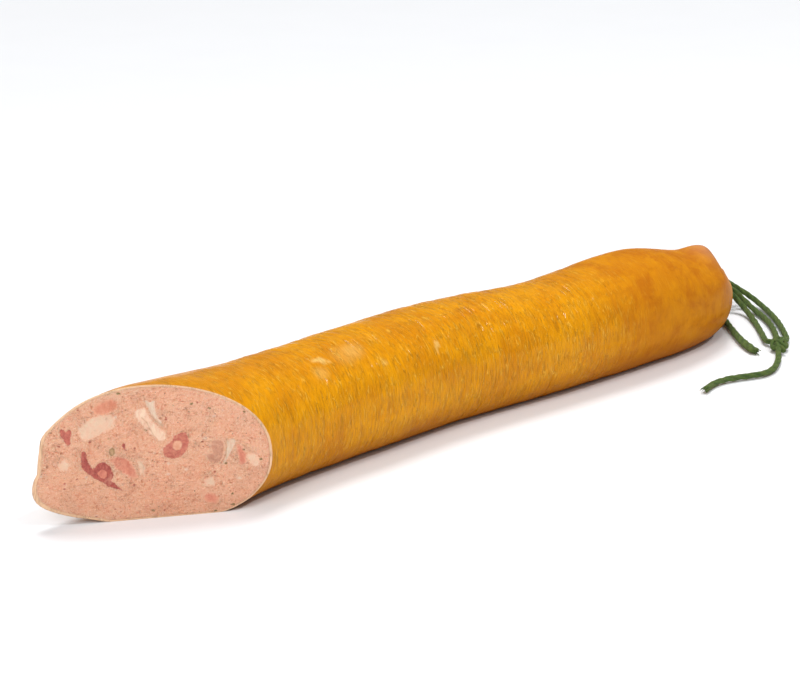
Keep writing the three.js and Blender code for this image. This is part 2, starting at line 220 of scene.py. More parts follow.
def skin_points(station, angle, rise):
    """Points of the skin at station numbers and angles, raised by rise, or sunk if negative."""
    here = along_curve(STATIONS, station)
    ahead = along_curve(STATIONS, np.minimum(station + HEADING_STEP, SPANS))
    behind = along_curve(STATIONS, np.maximum(station - HEADING_STEP, 0))
    heading = ahead[:, :2] - behind[:, :2]
    heading /= np.linalg.norm(heading, axis=1)[:, None]
    run = np.linalg.norm(ahead[:, :3] - behind[:, :3], axis=1)
    steepness = np.hypot(1, (ahead[:, 3] - behind[:, 3]) / run)
    power = 2 / SQUARENESS
    cosine, sine = np.cos(angle), np.sin(angle)
    across = here[:, 3] * np.sign(cosine) * np.abs(cosine) ** power
    tall = np.where(sine > 0, here[:, 4], here[:, 5])
    up = tall * np.sign(sine) * np.abs(sine) ** power
    radius = np.hypot(across, up)
    sunk = np.minimum(rise, 0)
    full = radius + swell_at(here[:, 0], angle) + rise - sunk + sunk * steepness
    depth = (CUT_MIDDLE[0] - here[:, 0] + heading[:, 1] * across) * CUT_NORMAL[0]
    depth += (CUT_MIDDLE[1] - here[:, 1] - heading[:, 0] * across) * CUT_NORMAL[1]
    full += by_angle(EDGE_FORM, angle) * np.exp(-((np.maximum(depth, 0) / EDGE_REACH) ** 2))
    scale = full / radius
    side = across * scale
    floor = np.maximum(-sunk, 0)
    return np.stack([
        here[:, 0] - heading[:, 1] * side,
        here[:, 1] + heading[:, 0] * side,
        np.maximum(here[:, 2] + up * scale, floor),
    ], axis=1)


def length_along(station):
    """How far along its spine a station number is, in millimetres from the middle of the cut."""
    table = np.linspace(0, SPANS, 600)
    run = run_along(along_curve(STATIONS[:, :3], table))
    return np.interp(station, table, run) - np.interp(MIDDLE_STATION, table, run)


def cut_station(angles, inset):
    """The station number where the line of skin at each angle meets the cut."""
    table = np.linspace(*CUT_STATIONS, 260)
    found = np.empty_like(angles)
    for i, (angle, sunk) in enumerate(zip(angles, inset)):
        points = skin_points(table, np.full_like(table, angle), np.full_like(table, -sunk))
        distance = (points - CUT_MIDDLE) @ CUT_NORMAL
        found[i] = np.interp(0, -distance, table)
    return found


def on_face(right, up, out):
    """Points at places in the plane of the cut, from its middle, and out from it."""
    return (CUT_MIDDLE + right[:, None] * CUT_RIGHT + up[:, None] * CUT_UP
            + out[:, None] * CUT_NORMAL)


def smooth_step(low, high, value):
    """0 up to low, 1 from high, smooth between. It falls instead where low is above high."""
    t = np.clip((value - low) / (high - low), 0, 1)
    return t * t * (3 - 2 * t)


def noise_at(x, y, z, octaves=1):
    """Signed noise, about -1 to 1, at the points with these coordinates."""
    points = np.stack(np.broadcast_arrays(x, y, z), axis=1)
    if octaves == 1:
        return np.array([noise.noise(Vector(p)) for p in points])
    return np.array([noise.fractal(Vector(p), 0.9, 2.1, octaves) for p in points])


# ---------------------------------------------------------------- meshes

def finish_piece(name, bm, material, node):
    """Makes a piece of a bmesh whose places are in millimetres from the middle of the cut."""
    bmesh.ops.translate(bm, verts=bm.verts, vec=-ORIGIN)
    bmesh.ops.scale(bm, verts=bm.verts, vec=(MM, MM, MM))
    mesh = bpy.data.meshes.new(name)
    bm.to_mesh(mesh)
    bm.free()
    mesh.polygons.foreach_set("use_smooth", [True] * len(mesh.polygons))
    mesh.materials.append(material)
    piece = bpy.data.objects.new(name, mesh)
    bpy.context.scene.collection.objects.link(piece)
    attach(piece, BODY)
    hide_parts(node)
    return piece


def moved_grid(rows, columns, place):
    """A bmesh grid, rows by columns, moved to the points that place gives for the arrays of its
    row numbers and column numbers. place also gives the named values that the vertices keep."""
    bm = bmesh.new()
    bmesh.ops.create_grid(bm, x_segments=rows, y_segments=columns, size=1)
    flat = np.array([v.co for v in bm.verts])
    row = np.rint((flat[:, 0] + 1) / 2 * rows).astype(int)
    column = np.rint((flat[:, 1] + 1) / 2 * columns).astype(int)
    points, values = place(row, column)
    kinds = bm.verts.layers
    kept = [((kinds.float if value.ndim == 1 else kinds.float_vector).new(name), value)
            for name, value in values.items()]
    for i, vert in enumerate(bm.verts):
        vert.co = points[i]
        for layer, value in kept:
            vert[layer] = value[i]
    return bm


def close_sleeve(bm):
    """Joins a rolled-up grid along its seam and at its poles, and turns its faces outwards."""
    bmesh.ops.remove_doubles(bm, verts=bm.verts, dist=1e-5)
    bmesh.ops.dissolve_degenerate(bm, edges=bm.edges, dist=1e-6)
    bmesh.ops.recalc_face_normals(bm, faces=bm.faces)


# ---------------------------------------------------------------- shader arithmetic

class Value:
    """A socket whose arithmetic adds Math nodes to its tree."""

    def __init__(self, tree, socket):
        self.tree = tree
        self.socket = socket

    def _math(self, operation, first, second=None, clamp=False):
        settings = {"operation": operation, "use_clamp": clamp}
        inputs = {0: first} if second is None else {0: first, 1: second}
        return self.tree.add("ShaderNodeMath", settings, inputs)

    def __add__(self, other):
        return self._math("ADD", self, other)

    __radd__ = __add__

    def __sub__(self, other):
        return self._math("SUBTRACT", self, other)

    def __rsub__(self, other):
        return self._math("SUBTRACT", other, self)

    def __mul__(self, other):
        return self._math("MULTIPLY", self, other)

    __rmul__ = __mul__

    def __abs__(self):
        return self._math("ABSOLUTE", self)

    def clamp(self):
        return self._math("ADD", self, 0.0, clamp=True)

    def above(self, low, high):
        """0 below low, 1 above high, smooth between."""
        return self.tree.add("ShaderNodeMapRange", {"interpolation_type": "SMOOTHSTEP"},
                             {"Value": self, "From Min": low, "From Max": high})


class Finish:
    """A material and the nodes that make it."""

    def __init__(self, name, **constants):
        self.material = bpy.data.materials.new(name)
        self.material.use_nodes = True
        self.nodes = self.material.node_tree.nodes
        self.links = self.material.node_tree.links
        self.shader = self.nodes["Principled BSDF"]
        for socket, value in constants.items():
            self.shader.inputs[socket.replace("_", " ")].default_value = value

    def add(self, kind, settings=None, inputs=None, output=0):
        node = self.nodes.new(kind)
        for key, value in (settings or {}).items():
            setattr(node, key, value)
        for key, value in (inputs or {}).items():
            self._feed(node.inputs[key], value)
        return Value(self, node.outputs[output])

    def _feed(self, socket, value):
        if isinstance(value, Value):
            self.links.new(value.socket, socket)
        elif hasattr(value, "__len__") and socket.type == "RGBA":
            socket.default_value = (*value[:3], 1)
        else:
            socket.default_value = value

    def place(self):
        """Object coordinates in millimetres."""
        coordinates = self.add("ShaderNodeTexCoord", output="Object")
        return self.add("ShaderNodeVectorMath", {"operation": "SCALE"},
                        {0: coordinates, "Scale": 1 / MM})

    def attribute(self, name, vector=False):
        return self.add("ShaderNodeAttribute", {"attribute_name": name},
                        output="Vector" if vector else "Fac")

    def stretch(self, vector, by):
        return self.add("ShaderNodeVectorMath", {"operation": "MULTIPLY"}, {0: vector, 1: by})

    def noise(self, vector, scale, detail=2.0, roughness=0.5, distortion=0.0):
        return self.add("ShaderNodeTexNoise", {"noise_dimensions": "3D"},
                        {"Vector": vector, "Scale": scale, "Detail": detail,
                         "Roughness": roughness, "Distortion": distortion})

    def warped(self, vector, scale, amount):
        """A place moved about by noise, so that what is drawn there wanders."""
        drift = self.add("ShaderNodeTexNoise", {"noise_dimensions": "3D"},
                         {"Vector": vector, "Scale": scale, "Detail": 2.0}, output="Color")
        moved = self.add("ShaderNodeVectorMath", {"operation": "SUBTRACT"},
                         {0: drift, 1: (0.5, 0.5, 0.5)})
        scaled = self.add("ShaderNodeVectorMath", {"operation": "SCALE"},
                          {0: moved, "Scale": amount})
        return self.add("ShaderNodeVectorMath", {"operation": "ADD"}, {0: vector, 1: scaled})

    def lines(self, vector, width):
        """Thin wandering lines: 1 on a line, 0 off it."""
        middle = abs(self.noise(vector, 1.0, 1.0, 0.4) - 0.5)
        return 1 - middle.above(0.0, width)

    def cells(self, vector, scale):
        """How far each place is from the middle of its cell."""
        return self.add("ShaderNodeTexVoronoi", {"feature": "F1"},
                        {"Vector": vector, "Scale": scale})

    def cell_number(self, vector, scale):
        """A random number for each cell of the same pattern."""
        colour = self.add("ShaderNodeTexVoronoi", {"feature": "F1"},
                          {"Vector": vector, "Scale": scale}, output="Color")
        return self.add("ShaderNodeSeparateColor", None, {0: colour})

    def mix(self, factor, first, second):
        """The colour first where factor is 0 and second where it is 1."""
        return self.add("ShaderNodeMix", {"data_type": "RGBA"},
                        {0: factor, 6: first, 7: second}, output=2)

    def bump(self, height, distance, strength=1.0):
        return self.add("ShaderNodeBump", None,
                        {"Height": height, "Distance": distance * MM, "Strength": strength})

    def wire(self, **links):
        for socket, value in links.items():
            self._feed(self.shader.inputs[socket.replace("_", " ")], value)
        return self.material


# ---------------------------------------------------------------- what a user would change

def length(name, description, default, least, most):
    """A size given here in millimetres, which the panel shows in the scene's own units."""
    return FloatProperty(name=name, description=description, unit="LENGTH", precision=5,
                         default=default * MM, min=least * MM, max=most * MM)


def colour(name, description, default):
    """A colour that the panel shows as a swatch."""
    return FloatVectorProperty(name=name, description=description, subtype="COLOR", size=3,
                               min=0, max=1, default=default)


class SausageSizes(bpy.types.PropertyGroup):
    casing_wall: length("Casing thickness", "The casing's thickness at the cut", 0.5, 0.2, 0.8)
    wrinkle_height: length("Wrinkle height", "Height of the casing's wrinkles", 0.34, 0, 1)
    crumb_height: length("Crumb height", "How rough the cut face of the paste is", 0.21, 0, 1)
    chunk_thickness: length("Chunk thickness", "Depth of the pieces in the paste", 1.1, 0.5, 4)
    twine_diameter: length("Twine diameter", "Thickness of the twine", 3.0, 1, 4)
    twine_turns: IntProperty(
        name="Turns round the neck", description="Turns of twine round the gathered neck",
        default=2, min=1, max=4)


class SausageColours(bpy.types.PropertyGroup):
    gold: colour("Casing gold", "The smoked casing where it is brightest", (0.785, 0.325, 0.003))
    amber: colour("Casing amber", "The smoked casing where it is darker", (0.68, 0.25, 0.003))
    smoke: colour("Casing smoke", "Orange smoke stains", (0.50, 0.17, 0.008))
    # bark is also the painted shade of the casing's underside and of its creases.
    bark: colour("Casing brown", "Creases and the darkest stains", (0.36, 0.10, 0.004))
    blush: colour("Casing blush", "Bare, pinkish skin at the end", (0.55, 0.285, 0.19))
    cream: colour("Rim cream", "The casing's cut edge", (0.86, 0.55, 0.345))
    paste: colour("Paste", "The meat paste", (0.835, 0.41, 0.253))
    paste_deep: colour("Deep paste", "The meat paste in its hollows", (0.76, 0.30, 0.18))
    paste_pale: colour("Pale paste", "Fatter places in the paste", (0.885, 0.525, 0.355))
    fat: colour("Fat", "Pieces of fat", (0.80, 0.56, 0.40))
    lean: colour("Lean meat", "Pieces of lean meat", (0.64, 0.20, 0.125))
    dark: colour("Dark meat", "Pieces of dark meat", (0.34, 0.055, 0.045))
    gristle: colour("Gristle", "The grey, translucent gristle", (0.54, 0.245, 0.155))
    seed: colour("Peppercorn", "The soaked peppercorn", (0.40, 0.24, 0.11))
    twine: colour("Twine", "The green twine", (0.062, 0.118, 0.022))
    # The painted highlight colour of the fibres on the plies' tops.
    twine_ply_highlight: colour("Twine, light side", "Fibres on the twine's surface", (0.25, 0.31, 0.085))


# ---------------------------------------------------------------- materials

# Tints that only a finish needs.
SMOKE_PATCH = (0.45, 0.13, 0.006)
# The painted glint colour on the casing's ridges.
PAINTED_GLINT = (0.91, 0.50, 0.06)
# The paste's painted shade in its hollows, its painted highlight on raised grains and its painted
# shade in cracks.
PALE_SKIN = (0.90, 0.56, 0.16)
PASTE_HOLLOW_SHADE = (0.68, 0.235, 0.135)
PASTE_CRUMB_HIGHLIGHT = (0.96, 0.67, 0.48)
PASTE_CRACK_SHADE = (0.46, 0.15, 0.085)
MEAT_HAIR = (0.60, 0.26, 0.15)
MEAT_VEIN = (0.58, 0.27, 0.14)
TWINE_GROOVE_SHADE = (0.035, 0.068, 0.018)
TWINE_PATCH = (0.105, 0.13, 0.028)
TWINE_SHEEN = (0.7, 0.8, 0.35, 1)
FLOOR_TINTS = ((0.84, 0.85, 0.87), (0.86, 0.87, 0.89))

# Specks in the paste: cells to the millimetre, where in a cell a speck starts and stops fading,
# the share of the cells that hold none, and its tint.
SPECKS = (
    (0.70, 0.10, 0.20, 0.955, (0.050, 0.028, 0.016)),
    (0.36, 0.14, 0.26, 0.94, (0.19, 0.15, 0.04)),
    (0.52, 0.10, 0.34, 0.94, (0.46, 0.09, 0.06)),
    (1.0, 0.08, 0.22, 0.86, (0.36, 0.11, 0.06)),
    (0.36, 0.05, 0.38, 0.93, (0.90, 0.66, 0.52)),
)


def casing_finish(colours):
    """Smoked natural casing: golden, mottled, finely wrinkled across, and cream at its cut edge.
    The pattern lies on the skin as if it were a straight tube."""
    made = Finish("smoked_casing", IOR=1.45, Specular_IOR_Level=0.02, Coat_Roughness=0.12,
                  Coat_IOR=1.28)
    skin = made.attribute("skin", vector=True)
    rim = made.attribute("rim")
    smoothness = made.attribute("smoothness")
    underside_shade_mask = made.attribute("painted_underside_shade")

    def grain(along, around, detail=3.0, roughness=0.6, distortion=0.0):
        return made.noise(made.stretch(skin, (along, around, around)), 1.0, detail, roughness,
                          distortion)

    def strands(along, around, width):
        return made.lines(made.stretch(skin, (along, around, around)), width)

    # The smoke's broad colours, which the end took up most of.
    clouds = grain(0.045, 0.06)
    blots = grain(0.16, 0.12, 4.0, 0.65, 0.4)
    patches = grain(0.1, 0.09, 5.0, 0.68, 0.5)
    dots = grain(0.16, 0.15, 3.0, 0.55, 0.8)
    golden = made.mix(clouds.above(0.34, 0.62), colours.amber, colours.gold)
    hung = made.mix(smoothness * 0.6, golden, colours.smoke)
    stained = made.mix(blots.above(0.42, 0.62) * (0.15 + smoothness * 0.2), hung, colours.smoke)
    smoked = made.mix(patches.above(0.4, 0.68) * smoothness * 0.8, stained, SMOKE_PATCH)
    browned = made.mix(dots.above(0.56, 0.72) * smoothness * 0.35, smoked, colours.bark)
    # Painted shade: the underside is darkened towards brown by how far down it faces.
    painted_underside_shade = made.mix(underside_shade_mask * 0.8, browned, colours.bark)

    # Dark lines painted along the bump's grooves and into the creases as painted shade, and bright
    # lines painted on its ridges as painted glints, where the skin is firm.
    firm = 1 - smoothness * 0.85
    fibres = grain(1.6, 0.16, 4.0, 0.6, 0.5)
    fine = grain(3.2, 0.35, 3.0, 0.6, 0.3)
    dashes = grain(0.4, 0.22, 2.0, 0.5).above(0.4, 0.6)
    veins = strands(0.85, 0.09, 0.026) * dashes
    hairs = strands(1.6, 0.2, 0.035) * (1 - dashes)
    # Painted glints: bright lines on the raised ridges, left off the shaded underside.
    glint_ridges = strands(1.0, 0.13, 0.055) * (0.25 + dashes * 0.75) * (1 - underside_shade_mask)
    groove_line_shade = (veins * 0.3 + hairs * 0.14) * firm
    # Painted shade: darker in the creases and along the lines that the bump sinks as grooves.
    crease_shaded = made.mix(groove_line_shade + made.attribute("crease") * 0.3, painted_underside_shade, colours.bark)
    # Painted highlight: the fine noise's light spots and the glint lines.
    lit = made.mix((fine.above(0.56, 0.76) * 0.2 + glint_ridges * 0.62) * firm, crease_shaded, PAINTED_GLINT)

    # Pale marks, the bare knob and the cut edge.
    spotted = made.mix(made.attribute("pale") * (0.6 + fibres * 0.6), lit, PALE_SKIN)
    blushed = made.mix(made.attribute("blush") * (0.6 + blots * 0.5), spotted, colours.blush)
    edge_noise = made.noise(made.place(), 0.9, 3.0)
    edge = (rim * 1.2 + (edge_noise - 0.5) * 0.9).above(0.35, 0.95)

    relief = (fibres * 0.5 + fine * 0.3 + glint_ridges * 0.6 - veins * 0.25 - hairs * 0.15) * firm
    return made.wire(
        Base_Color=made.mix(edge, blushed, colours.cream),
        Roughness=0.26 + clouds * 0.16 + smoothness * 0.14,
        Coat_Weight=(0.32 - smoothness * 0.24 - rim * 0.4 - underside_shade_mask * 0.4).clamp(),
        Normal=made.bump(relief + blots * 0.3, 0.55),
    )


def paste_colour(made, colours):
    """The meat paste's place, colour, relief, crumbs and grains, which the pieces set in it
    share at their edges."""
    place = made.place()
    clouds = made.noise(place, 0.11, 3.0, 0.6)
    crumbs = made.noise(place, 0.95, 5.0, 0.66, 0.6)
    grains = made.noise(place, 2.3, 3.0, 0.6)
    # Paler in cloudy, fatter places, and paler on the raised crumbs as painted highlight.
    base = made.mix((clouds - 0.3) * 1.2 + (crumbs - 0.5) * 1.2, colours.paste, colours.paste_pale)
    pink = made.noise(place, 0.24, 4.0, 0.65, 0.8)
    rosy = made.mix(pink.above(0.53, 0.72) * 0.5, base, colours.paste_deep)
    # Painted shade in the hollows between the raised crumbs.
    hollow_shaded = made.mix((0.46 - crumbs).above(0.0, 0.09) * 0.65, rosy, PASTE_HOLLOW_SHADE)
    # Painted highlight on the raised grains, which also stand up in the bump.
    crumb_highlighted = made.mix(grains.above(0.52, 0.64) * 0.6, hollow_shaded, PASTE_CRUMB_HIGHLIGHT)
    torn = made.noise(place, 0.16, 2.0).above(0.5, 0.62)
    cracks = made.lines(made.warped(place, 0.5, 2.6), 0.018) * torn
    # Painted shade in the cracks, which are also grooves in the bump.
    crack_shaded = made.mix(cracks * 0.7, crumb_highlighted, PASTE_CRACK_SHADE)
    return place, crack_shaded, crumbs * 0.8 + grains * 0.5 - cracks * 0.4, crumbs, grains


def flecks(made, place, base):
    """Herb leaf, pepper, blood-red and fat specks, each in some cells of a pattern of its own."""
    result = base
    ragged = (made.noise(place, 2.6, 2.0) - 0.5) * 0.3
    for index, (scale, core, edge, empty, tint) in enumerate(SPECKS):
        shifted = made.add("ShaderNodeVectorMath", {"operation": "ADD"},
                           {0: place, 1: (17.0 * index, 5.0 * index, 11.0)})
        bent = made.stretch(made.warped(shifted, 0.6, 0.8), (1.0, 0.75, 1.3))
        distance = made.cells(bent, scale) + ragged
        chosen = made.cell_number(bent, scale).above(empty, empty + 0.01)
        result = made.mix(chosen * (1 - distance.above(core, edge)) * 0.85, result, tint)
    return result


def paste_finish(colours):
    """Crumbly, moist pink meat paste with its specks."""
    made = Finish("meat_paste", IOR=1.42, Specular_IOR_Level=0.42, Subsurface_Weight=0.3,
                  Subsurface_Radius=(1.8, 0.8, 0.5), Subsurface_Scale=1.2 * MM)
    place, colour_of_paste, relief, _, grains = paste_colour(made, colours)
    return made.wire(
        Base_Color=flecks(made, place, colour_of_paste),
        Roughness=0.62 - grains * 0.2,
        Normal=made.bump(relief, 0.7),
    )


def chunk_finish(name, colours, first, second, streak, gloss, rim=None, bed=None):
    """A piece of meat or fat: its own two colours inside, and at its very edge those of its bed,
    which is the paste, or the piece whose core it is. rim is the colour of its own margin."""
    made = Finish(name, IOR=1.44, Specular_IOR_Level=0.45, Subsurface_Weight=0.2,
                  Subsurface_Radius=(1.6, 0.8, 0.5), Subsurface_Scale=0.7 * MM)
    place, colour_of_paste, relief, crumbs, grains = paste_colour(made, colours)
    around = flecks(made, place, colour_of_paste)
    vein = made.attribute("vein")
    grain = made.noise(made.stretch(place, streak), 0.8, 4.0, 0.62, 0.5)
    hairs = made.lines(made.stretch(made.warped(place, 0.3, 1.5), streak), 0.02)
    own = made.mix(grain.above(0.36, 0.64), first, second)
    if bed is not None:
        around = made.mix(grain.above(0.36, 0.64), *bed)
    if rim is not None:
        own = made.mix(made.attribute("depth").above(0.5, 1.1), rim, own)
    haired = made.mix(hairs * 0.16, own, MEAT_HAIR)
    veined = made.mix(vein * 0.8, haired, MEAT_VEIN)
    clumps = made.noise(place, 0.45, 3.0, 0.6)
    milky = made.mix(clumps.above(0.5, 0.7) * 0.28, veined, around)
    edge = made.attribute("own") + (crumbs - 0.5) * 1.3 + (clumps - 0.5) * 0.6
    inside = edge.above(0.1, 0.9)
    return made.wire(
        Base_Color=made.mix(inside, around, milky),
        Roughness=0.60 - inside * (0.60 - gloss) + (grains - 0.5) * 0.15,
        Normal=made.bump(relief * (1 - inside * 0.6) + (grain * 0.35 - vein * 0.2) * inside, 0.7),
    )


def twine_finish(colours):
    """Soft green twine: matt, painted darker in the grooves between its plies as painted shade,
    with lighter fibres on the plies' tops as painted highlight.
    """
    made = Finish("green_twine", Roughness=0.88, Specular_IOR_Level=0.25, Sheen_Weight=0.2,
                  Sheen_Roughness=0.5, Sheen_Tint=TWINE_SHEEN)
    place = made.place()
    lay = made.attribute("lay")
    clouds = made.noise(place, 0.35, 3.0, 0.6)
    fibres = made.noise(place, 4.5, 3.0, 0.7, 0.8)
    # Painted shade in the grooves between the plies.
    ply_shaded = made.mix(lay, TWINE_GROOVE_SHADE, colours.twine)
    patchy = made.mix(clouds.above(0.4, 0.7) * 0.6, ply_shaded, TWINE_PATCH)
    # Painted highlight: lighter fibres on the tops of the plies.
    lit = made.mix(fibres.above(0.52, 0.8) * lay * 0.9, patchy, colours.twine_ply_highlight)
    return made.wire(Base_Color=lit, Normal=made.bump(fibres + lay * 0.4, 0.4, 0.9))


def floor_finish():
    """A plain, pale, matt studio floor."""
    made = Finish("pale_floor", Roughness=0.8, Specular_IOR_Level=0.15)
    mottle = made.noise(made.place(), 0.02, 2.0)
    return made.wire(Base_Color=made.mix(mottle, *FLOOR_TINTS))


# ---------------------------------------------------------------- the casing

CASING_ROUND = 112
DEEP_WALL = 1.3             # how much thicker the skin is behind the cut, under its wrinkles
CASING_INNER_ROWS = 20
CASING_RIM_ROWS = 3
# The outer skin's rows: how many, and how far along the skin they reach. The last go to its end.
CASING_REACHES = ((190, 72), (480, 232), (185, None))
FIRST_OUTER_ROW = CASING_INNER_ROWS + CASING_RIM_ROWS
CASING_ROWS = FIRST_OUTER_ROW + sum(rows for rows, _ in CASING_REACHES) + 1
SEAM_ANGLE = -math.pi / 2   # the seam of the casing and the filling lies underneath

# Paler marks in the skin: how far along, angle round, reach along, reach round, strength.
PALE_SPOTS = (
    (73.0, 2.02, 2.2, 0.045, 1.0),
    (75.2, 2.07, 1.4, 0.07, 1.0),
    (77.4, 2.12, 0.9, 0.04, 0.7),
    (70.5, 2.28, 3.5, 0.12, 0.35),
    (92.0, 2.06, 4.5, 0.17, 0.3),
    (86.4, 2.10, 6.0, 0.2, 0.25),
    (101.0, 2.46, 1.6, 0.05, 0.45),
    (130.4, 2.44, 1.3, 0.06, 0.8),
    (129.0, 2.52, 0.7, 0.08, 0.6),
)


def cut_walls(angles, thickness):
    """How thick the skin is at the cut: uneven, and thickest at the lower far lip."""
    uneven = noise_at(3 * np.cos(angles), 3 * np.sin(angles), 0)
    return thickness * by_angle(EDGE_WALL, angles) * (1 + 0.25 * uneven)


def pale_spots_at(along, angle):
    """How strong the paler marks are at each place on the skin."""
    strength = np.zeros_like(along)
    for s, centre, reach_along, reach_round, most in PALE_SPOTS:
        turn = turn_from(centre, angle)
        near = ((along - s) / reach_along) ** 2 + (turn / reach_round) ** 2
        strength += most * np.exp(-(near ** 2))
    return np.clip(strength, 0, 1)


def skin_place(station, angle):
    """A point's place on the skin laid out as a straight tube, for patterns that follow it."""
    girth = along_curve(STATIONS, station)[:, 3]
    tube = np.clip(girth, 6, 25)
    return np.stack([length_along(station), tube * np.cos(angle), tube * np.sin(angle)], axis=1)


def wrinkles(place, station, angle, from_cut, height):
    """Rise of the skin above its plain form, how deep in a crease each point is, which the finish
    paints darker as painted crease shade, and how smooth the skin is there."""
    s, y, z = place.T
    smoothness = smooth_step(205, 250, s)
    worked = smooth_step(15, 75, s) * (1 - 0.8 * smoothness)
    strength = (0.25 + 0.75 * worked) * smooth_step(0.0, 3.0, from_cut)
    along = s + 0.05 * y + 2.4 * noise_at(s / 21, y / 16, z / 16)
    dash = smooth_step(-0.3, 0.25, noise_at(s / 3.2 + 3, y / 5, z / 5))
    fine = noise_at(along / 1.5, y / 15, z / 15)
    deep = noise_at(along / 3.1 + 40, y / 26, z / 26)
    wave = noise_at(along / 6.5 + 90, y / 18, z / 18)
    slow = noise_at(s / 17 + 5, y / 15, z / 15)
    patch = smooth_step(-0.35, 0.35, noise_at(s / 20, y / 13, z / 13 + 9))
    groove = np.exp(-((fine / 0.24) ** 2)) * (0.35 + 0.65 * patch) * (0.25 + 0.75 * dash)
    cleft = np.exp(-((deep / 0.13) ** 2)) * (0.25 + 0.75 * (1 - patch)) * (1 - 0.7 * dash)
    crease = np.clip(0.5 * groove + cleft, 0, 1)
    rise = -strength * height * (0.7 * groove + cleft - 0.4 * wave)
    rise += 0.3 * slow * smooth_step(0, 12, from_cut)
    # Lengthwise folds that gather towards the tie.
    gather = smooth_step(316, 328, s)
    folds = np.cos(7 * angle + 1.5 * noise_at(s / 9, y / 9, z / 9))
    girth = along_curve(STATIONS, station)[:, 3]
    rise += gather * folds * np.minimum(0.11 * girth, 0.9)
    # The end's loose skin lies in long shallow folds.
    loose = smooth_step(262, 296, s) * (1 - gather)
    rise += 0.35 * loose * noise_at(s / 13, y / 5 + 3, z / 5)
    return rise, crease * strength, smoothness


def skin_rows(number, start, finish):
    """How far along the skin each row of its outside lies, where it starts at start."""
    along = start.copy()
    first = 0
    for rows, reach in CASING_REACHES:
        reach = finish if reach is None else reach
        share = np.clip((number - first) / rows, 0, 1)
        along += (reach - along) * share
        first += rows
    return along


def knob_blush(station, angle):
    """How bare and pink the skin is, round the knob on the end's upper corner."""
    turn = turn_from(KNOB_ANGLE, angle)
    return np.exp(-(((station - KNOB_STATION) / 0.42) ** 2) - (turn / 0.42) ** 2)


class SAUSAGE_OT_casing(bpy.types.Operator):
    """Makes the casing: outer skin, cut rim, inner wall, gathered neck and frill"""

    bl_idname = "sausage.casing"
    bl_label = "Casing"

    def execute(self, context):
        sizes = context.scene.sausage_sizes
        height = sizes.wrinkle_height / MM
        angles = np.linspace(0, 2 * math.pi, CASING_ROUND + 1) + SEAM_ANGLE
        walls = cut_walls(angles, sizes.casing_wall / MM)
        inner_start = cut_station(angles, walls)
        outer_start = cut_station(angles, 0 * walls)

        def place(row, column):
            angle = angles[column]
            outside = row >= FIRST_OUTER_ROW
            in_wall = np.clip(row / CASING_INNER_ROWS, 0, 1)
            in_rim = np.clip((row - CASING_INNER_ROWS) / CASING_RIM_ROWS, 0, 1)
            deep_end = LAST_FILLED_STATION + 0.1
            inner = deep_end + (inner_start[column] - deep_end) * in_wall
            rim = inner_start[column] + (outer_start[column] - inner_start[column]) * in_rim
            start = length_along(outer_start)[column]
            table = np.linspace(0, SPANS, 900)
            lengths = length_along(table)
            along = skin_rows(row - FIRST_OUTER_ROW, start, lengths[-1])
            skin = np.interp(along, lengths, table)
            station = np.where(row < CASING_INNER_ROWS, inner, np.where(outside, skin, rim))
            laid = skin_place(station, angle)
            from_cut = laid[:, 0] - start
            rise, crease, smoothness = wrinkles(laid, station, angle, from_cut, height)
            lip = 0.12 * np.exp(-((from_cut / 0.8) ** 2))
            inset = walls[column] * (1 - in_rim)
            deeper = inset + DEEP_WALL * smooth_step(0, 12, from_cut)
            rise = np.where(outside, rise + lip, -np.where(in_rim > 0, inset, deeper))
            points = skin_points(station, angle, rise)
            poles = (row == 0) | (row == CASING_ROWS)
            points[poles] = along_curve(STATIONS[:, :3], station[poles])
            return points, {
                "rim": np.where(outside, np.exp(-((from_cut / 0.35) ** 2)), 1.0),
                "smoothness": smoothness,
                # how deep in a crease, which the finish paints darker as shade
                "crease": crease,
                "blush": knob_blush(station, angle),
                # painted shade: how far down the underside each place is, which the finish darkens
                "painted_underside_shade": smooth_step(-0.15, -0.95, np.sin(angle)) * outside,
                "pale": pale_spots_at(laid[:, 0], angle),
                "skin": laid,
            }

        bm = moved_grid(CASING_ROWS, CASING_ROUND, place)
        close_sleeve(bm)
        material = casing_finish(context.scene.sausage_colours)
        finish_piece("casing_skin", bm, material, "casing")
        return {"FINISHED"}


# ---------------------------------------------------------------- the filling and its pieces

FACE_ROWS = 158
BODY_ROWS = 14
FACE_ROUND = 540
CHUNK_GRID = 0.22           # size of a face in the pieces' grids
PASTE_GAP = 0.03            # between the paste and the casing at the cut
PLAIN_BACK = 0.8            # depth of a piece behind its face, as a share of its pocket's

# The pieces of the cut face: CAD node, the record's slot, how far its edge wanders, and how
# softly its colour runs into the paste.
CHUNKS = {
    "fat_chunk": ("fat", 0.45, 1.7), "fat_fold": ("fat", 0.35, 1.1),
    "fat_chunk_edge": ("fat", 0.4, 1.4), "fat_spot_tip": ("fat", 0.4, 2.0),
    "fat_spot_low": ("fat", 0.4, 2.0), "fat_curl": ("fat", 0.3, 1.0),
    "ring_core": ("fat", 0.25, 0.9), "sinew_fan": ("sinew", 0.2, 0.8),
    "sinew_crescent": ("sinew", 0.2, 0.5), "gristle": ("gristle", 0.2, 0.6),
    "lean_meat_top": ("lean_meat", 0.5, 1.8), "lean_meat_wedge": ("lean_meat", 0.5, 1.3),
    "lean_meat_edge": ("lean_meat", 0.5, 1.2), "lean_meat_low": ("lean_meat", 0.6, 1.8),
    "strip_core": ("lean_meat", 0.25, 0.6), "dark_meat_heart": ("dark_meat", 0.4, 0.5),
    "dark_meat_fleck": ("dark_meat", 0.3, 0.4), "dark_meat_strip": ("dark_meat", 0.45, 0.55),
    "meat_ring": ("dark_meat", 0.4, 0.55), "pepper_seed": ("pepper_seed", 0.12, 0.4),
}

